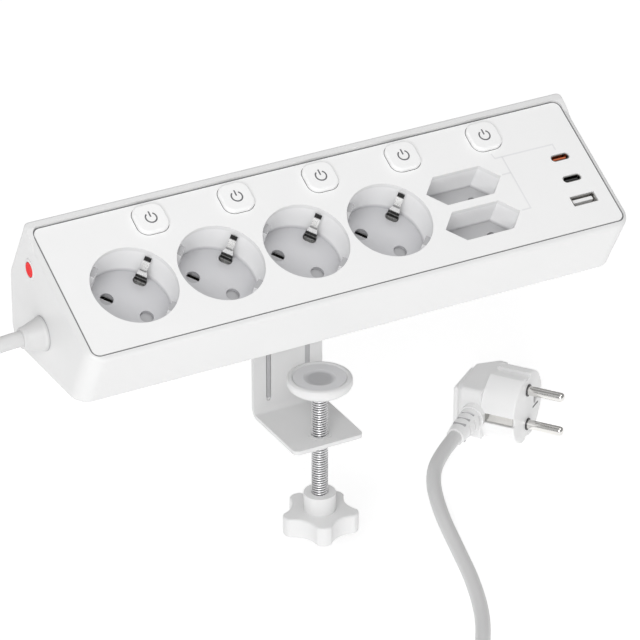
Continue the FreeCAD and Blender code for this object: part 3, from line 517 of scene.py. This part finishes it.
def add_plug_details():
    """Dark collars round the pins, black plates of painted shade in the slots by the earth hole, and grey
    plates of painted shade in the relief's slots.
    """
    pieces = []
    for k, side in enumerate((-1, 1), 1):
        pieces.append(pin_collar(k, side))
        slot_z = side * EARTH_SLOT_Z
        pieces.append(plug_block("earth_slot_%d" % k, (-0.4, 0.04), (6.6, 13.4), (slot_z - 0.5, slot_z + 0.5),
                                 BLACK))
        for n, y in enumerate(RELIEF_YS, 1):
            pieces.append(plug_block("relief_shade_%d_%d" % (k, n), (RELIEF_X - 3.2, RELIEF_X + 3.2),
                                     (y - 0.75, y + 0.75), sorted((side * 4.0, side * 4.6)), SHADE))
    return pieces


cord = add_cord()
plug_pieces = [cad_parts[name] for name in ("plug_body", "plug_pins", "plug_earth")]
plug_pieces + add_plug_details() + [add_tie()]


# ---- the clamp screw's thread ----

PITCH = 1.25
SCREW_LOW = -119.0
SCREW_HIGH = -48.4
NECK_R = 3.0
HEAD_R = 4.75
HEAD_LOW = -43.65
# the radius and height of the plain end above the thread
NECK_TO_HEAD = (
    (NECK_R, SCREW_HIGH), (NECK_R, HEAD_LOW), (HEAD_R, HEAD_LOW), (HEAD_R, -43.1), (4.35, -42.85),
    (0.02, -42.82),
)
PER_PITCH = 10


def thread_radius(angle, z):
    """The thread's radius: flat crest and root, 60 degree flanks."""
    along = ((z - SCREW_LOW) / PITCH - angle / (2 * math.pi)) % 1.0
    share = min(1.0, max(0.0, (abs(along - 0.5) * 2 - 0.15) / 0.70))
    fade = min(1.0, max(0.0, (SCREW_HIGH - z) / 1.2))
    return ROOT + (CREST - ROOT) * (1 - share) * (0.3 + 0.7 * fade)


def add_thread():
    around = 40
    rings = []
    z = SCREW_LOW
    while z < SCREW_HIGH:
        rings.append([(thread_radius(2 * math.pi * k / around, z), z) for k in range(around)])
        z += PITCH / PER_PITCH
    rings += [[pair] * around for pair in NECK_TO_HEAD]
    points = []
    for level in rings:
        for k, (radius, height) in enumerate(level):
            a = 2 * math.pi * k / around
            points.append(((CLAMP_X + radius * math.cos(a)) * MM, (SCREW_Y + radius * math.sin(a)) * MM,
                           height * MM))
    faces = []
    for row in range(len(rings) - 1):
        for k in range(around):
            a, b = row * around + k, row * around + (k + 1) % around
            faces.append((a, b, b + around, a + around))
    faces.append(tuple(reversed(range(around))))
    piece = new_mesh("screw_thread", points, faces, THREAD, True)
    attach(piece, "screw")
    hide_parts("clamp_screw")


# the middle and the width of each groove in the leg
LEG_GROOVES = ((-7.05, 1.8), (13.25, 2.5))


def row_point(x, y, z):
    return x * MM, y * MM, z * MM


def add_leg_groove_shades():
    """Grey strips in the leg's two grooves, which stand for the shade there."""
    for k, (x, wide) in enumerate(LEG_GROOVES, 1):
        box("leg_groove_shade_%d" % k, (x - wide / 2, x + wide / 2), (42.7, 43.45), (-64.5, 4.5), LEG_GROOVE_SHADE, "bracket",
            row_point)


add_thread()
add_leg_groove_shades()


# ---- marks on the face ----

def ribbon(points, width, closed=False):
    """The left and right edges of a flat line of that width along (u, v) points."""
    left, right = [], []
    count = len(points)
    for k, p in enumerate(points):
        before = points[(k - 1) % count] if closed or k else p
        after = points[(k + 1) % count] if closed or k < count - 1 else p
        ways = []
        for a, b in ((before, p), (p, after)):
            run = Vector((b[0] - a[0], b[1] - a[1]))
            if run.length > 1e-9:
                ways.append(run.normalized())
        normal = Vector((0, 0))
        for way in ways:
            normal += Vector((-way.y, way.x))
        normal *= width / 2 * len(ways) / normal.length_squared
        left.append((p[0] + normal.x, p[1] + normal.y))
        right.append((p[0] - normal.x, p[1] - normal.y))
    return left, right


def raised_line(name, outline, width, low, high, material, body, closed=False):
    """A line standing on the face from h = low to h = high."""
    left, right = ribbon(outline, width, closed)
    count = len(outline)
    points = []
    for side, h in ((left, low), (left, high), (right, high), (right, low)):
        points += [face_point(u, v, h) for u, v in side]
    faces = band_faces(count, closed=closed)
    if not closed:
        faces.append((0, count, 2 * count, 3 * count))
        faces.append((4 * count - 1, 3 * count - 1, 2 * count - 1, count - 1))
    piece = new_mesh(name, points, faces, material)
    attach(piece, body)
    return piece


def rounded_loop(u0, u1, v0, v1, r, per_corner=8):
    points = []
    middles = ((u1 - r, v0 + r), (u1 - r, v1 - r), (u0 + r, v1 - r), (u0 + r, v0 + r))
    for (u, v), start in zip(middles, (-90, 0, 90, 180)):
        for k in range(per_corner + 1):
            a = math.radians(start + 90 * k / per_corner)
            points.append((u + r * math.cos(a), v + r * math.sin(a)))
    return points


SIGN_R = 2.55
SIGN_LINE = 0.68
SIGN_STEPS = 32


def add_power_symbols():
    """A ring open at the top, with a bar in the opening, on each button."""
    low, high = BUTTON_TOP - 0.02, BUTTON_TOP + 0.03
    for k, u in enumerate(BUTTONS_U, 1):
        body = "button_%d" % k
        arc = []
        for step in range(SIGN_STEPS + 1):
            a = math.radians(125 + 290 * step / SIGN_STEPS)
            arc.append((u + SIGN_R * math.cos(a), BUTTON_V - 0.2 + SIGN_R * math.sin(a)))
        raised_line("power_ring_%d" % k, arc, SIGN_LINE, low, high, PRINT, body)
        bar = [(u, BUTTON_V + 0.2), (u, BUTTON_V + 3.2)]
        raised_line("power_bar_%d" % k, bar, SIGN_LINE, low, high, PRINT, body)


def add_printed_lines():
    lines = {
        "printed_line_1": [(88.1, 50.1), (88.7, 47.2), (118.9, 47.1), (118.9, 43.9)],
        "printed_line_2": [(92.3, 47.0), (92.3, 17.7), (87.8, 17.6)],
        "printed_line_3": [(92.3, 38.0), (87.7, 38.0)],
    }
    for name, line in lines.items():
        raised_line(name, line, 0.75, -0.02, 0.02, FAINT, "housing")


def add_gap_shades():
    """Dark lines lying in the gaps round the panel and the buttons: no real part is like them."""
    out = PANEL_GAP / 2
    edge = PANEL_HALF + out
    loop = rounded_loop(-edge, edge, -out, PANEL_DEPTH + out, PANEL_CORNER + out)
    raised_line("panel_gap_shade", loop, 0.64, -2.38, -0.25, GAP, "housing", True)
    for k, u in enumerate(BUTTONS_U, 1):
        reach = BUTTON_WIDE / 2 + 0.12
        loop = rounded_loop(u - reach, u + reach, BUTTON_V - reach, BUTTON_V + reach, BUTTON_CORNER + 0.12)
        raised_line("button_gap_shade_%d" % k, loop, 0.24, -1.2, -0.02, BLACK, "housing", True)


def add_rib_shades():
    """Grey plates on the guide ribs' ends, which stand for the shade there: no real part is like them."""
    for k, u in enumerate(SOCKETS_U, 1):
        for n, angle in enumerate((135, -45), 1):
            way = math.radians(angle)
            out = Vector((math.cos(way), math.sin(way)))
            side = Vector((-out.y, out.x))

            def on_rib(reach, across, h):
                spot = Vector((u, SOCKET_V)) + out * reach + side * across
                return face_point(spot.x, spot.y, h)

            name = "rib_end_shade_%d_%d" % (k, n)
            box(name, (17.42, 19.76), (-2.68, 2.68), (-3.6, -3.36), SHADE, "housing", on_rib)


def add_gland_shade():
    """A grey ring that stands for the shaded joint of gland and housing: no real part is like it."""
    profile = ((6.0, -135.62), (7.95, -135.62), (7.95, -136.0), (6.0, -136.0))
    ring("gland_joint_shade", profile, 40, SHADE, lambda x, y, z: row_point(x, GLAND_Y + y, GLAND_Z + z))


add_power_symbols()
add_printed_lines()
add_gap_shades()
add_rib_shades()
add_gland_shade()


# ---- studio ----

def add_floor():
    n = Nodes("studio_floor")
    tone = n.ramp(n.noise(3.0, 2.0), 0.0, 1.0)
    n.link(n.tint(tone, (0.95, 0.95, 0.95), (0.94, 0.94, 0.94)), n.shader.inputs["Base Color"])
    n.link(n.ramp(n.noise(200.0), 0.55, 0.65), n.shader.inputs["Roughness"])
    n.shader.inputs["Emission Color"].default_value = (1, 1, 1, 1)
    n.shader.inputs["Emission Strength"].default_value = 0.40
    half = 6.0
    corners = [(-half, -half, FLOOR * MM), (half, -half, FLOOR * MM), (half, half, FLOOR * MM),
               (-half, half, FLOOR * MM)]
    floor = new_mesh("studio_floor", corners, [(0, 1, 2, 3)], n.material)


def add_world():
    world = bpy.data.worlds.new("studio")
    bpy.context.scene.world = world
    world.use_nodes = True
    background = world.node_tree.nodes["Background"]
    background.inputs["Color"].default_value = (1.0, 1.0, 1.0, 1)
    background.inputs["Strength"].default_value = 0.36


def add_light(name, place, aim, size, power):
    data = bpy.data.lights.new(name, "AREA")
    data.shape = "SQUARE"
    data.size = size
    data.energy = power
    light = bpy.data.objects.new(name, data)
    light.location = place
    light.rotation_mode = "QUATERNION"
    light.rotation_quaternion = (Vector(aim) - Vector(place)).to_track_quat("-Z", "Y")
    bpy.context.scene.collection.objects.link(light)


add_floor()
add_world()
add_light("key", (-1.6, -2.05, 1.4), (0, 0, 0), 1.8, 50)
add_light("top", (0.5, -0.5, 2.1), (0.1, 0, 0), 1.2, 10)
add_light("back", (-0.3, 1.5, 1.9), (0, 0, 0), 1.4, 3)
bpy.context.scene.view_settings.view_transform = "Standard"
